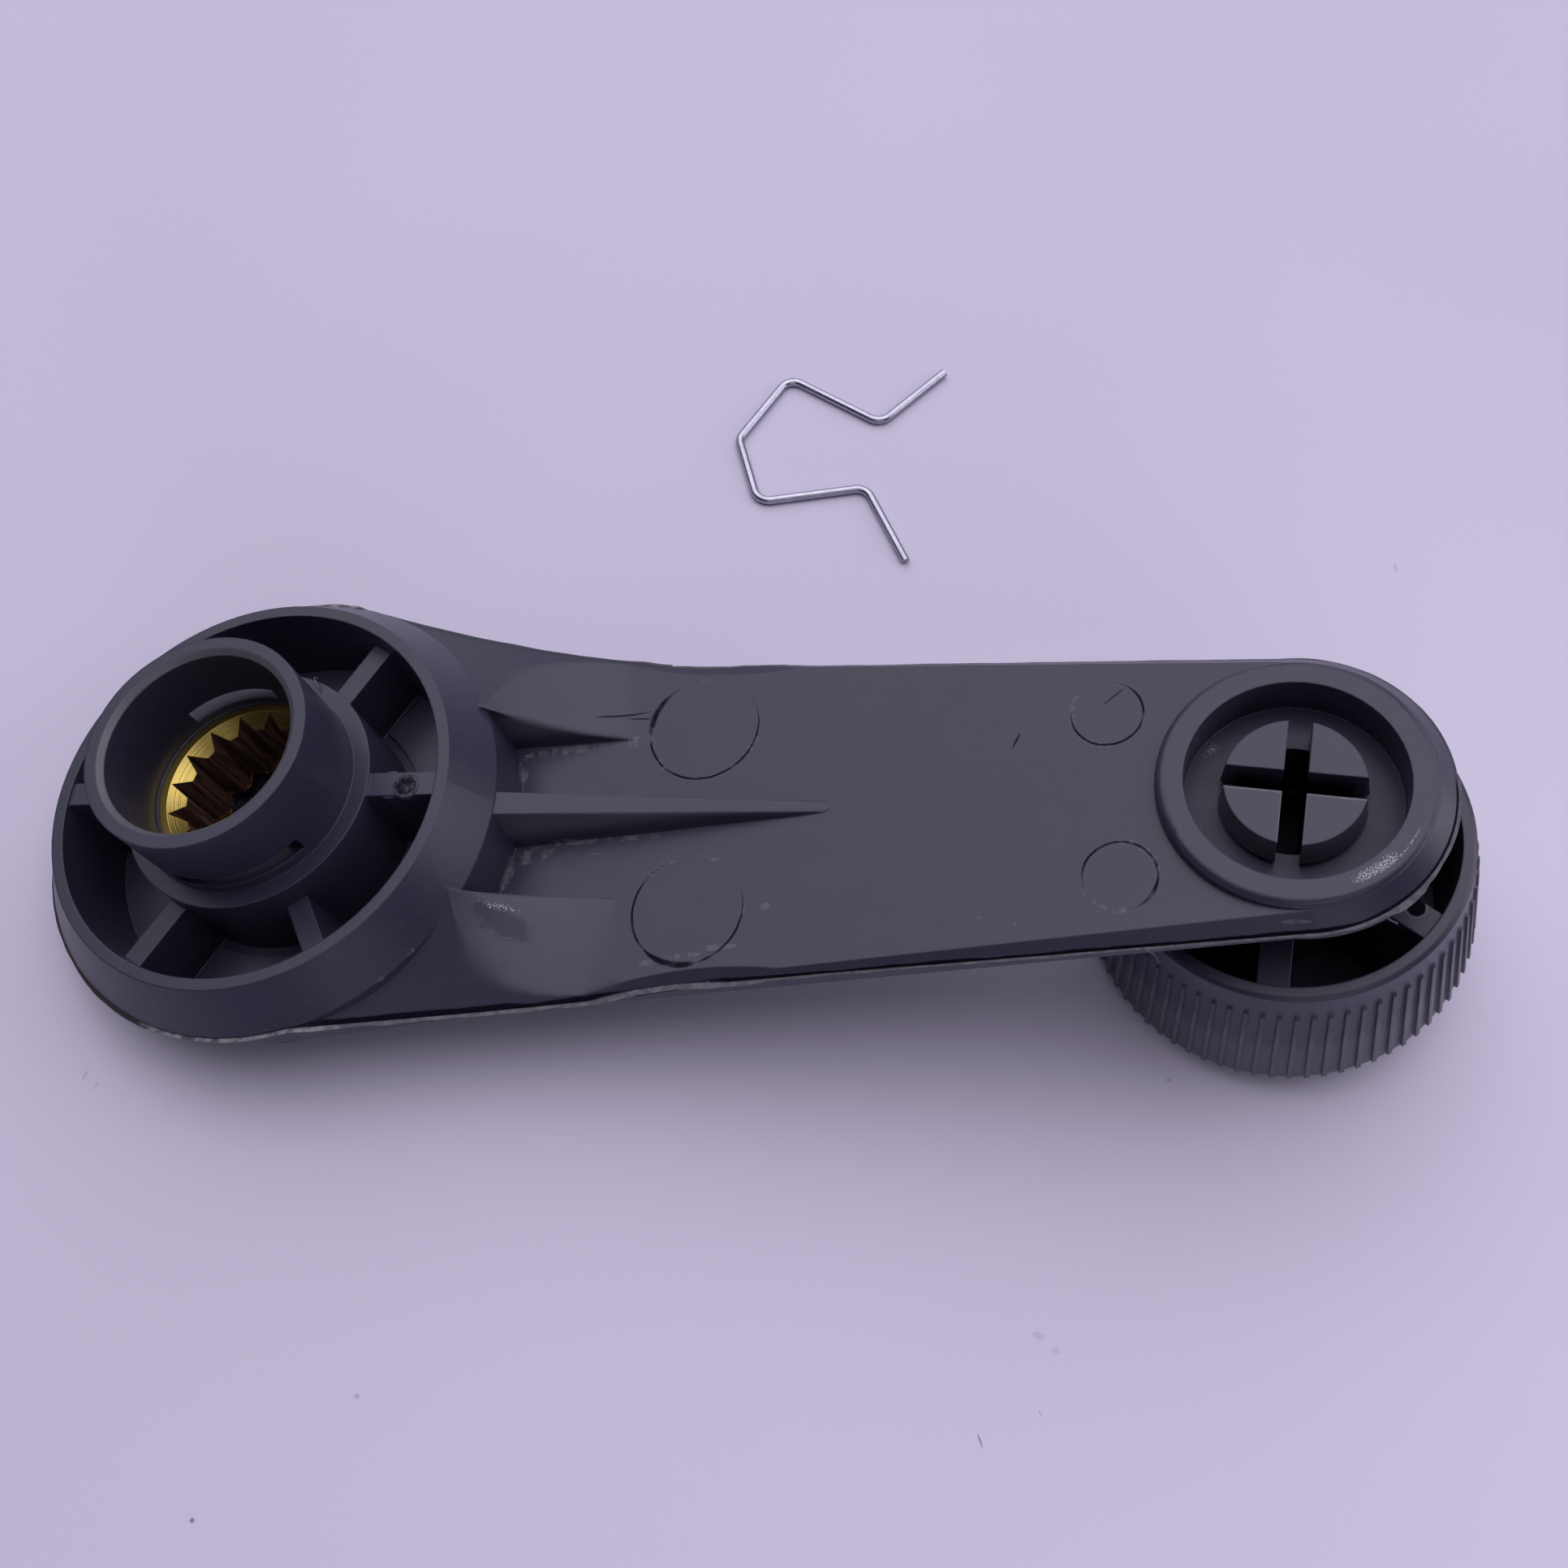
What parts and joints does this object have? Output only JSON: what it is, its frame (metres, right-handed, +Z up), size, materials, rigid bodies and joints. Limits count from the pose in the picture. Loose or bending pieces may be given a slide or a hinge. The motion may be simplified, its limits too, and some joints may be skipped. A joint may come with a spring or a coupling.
{
  "type": "window crank handle",
  "caption": "Moulded window crank with a toothed brass hub insert, a free-turning ribbed knob on a snap post, and its loose wire clip.",
  "frame": {"origin": "on the hub's axis, at the middle of the sleeve's plain bore, with the crank lying face down on a level bench", "axes": "+X along the crank from the hub to the knob, +Z up from the bench, +Y across the crank towards the loose clip"},
  "size_m": [0.146, 0.0952, 0.0345],
  "materials": {
    "arm_plastic": "satin",
    "insert_brass": "turned and broached",
    "knob_plastic": "satin",
    "clip_wire": "zinc plated"
  },
  "bodies": {
    "crank": {"arm": "arm_plastic", "insert": "insert_brass"},
    "knob": {"knob": "knob_plastic"},
    "clip": {"clip": "clip_wire"}
  },
  "joints": [
    {"name": "knob_spin", "type": "hinge", "parent": "crank", "child": "knob", "pos_m": [0.09982, 0, 0.01149], "axis": [-0.2111, 0, 0.9775], "continuous": true},
    {"name": "clip_lift", "type": "slide", "parent": "crank", "child": "clip", "axis": [0, 0, 1], "range_m": [0, 0.06]}
  ]
}
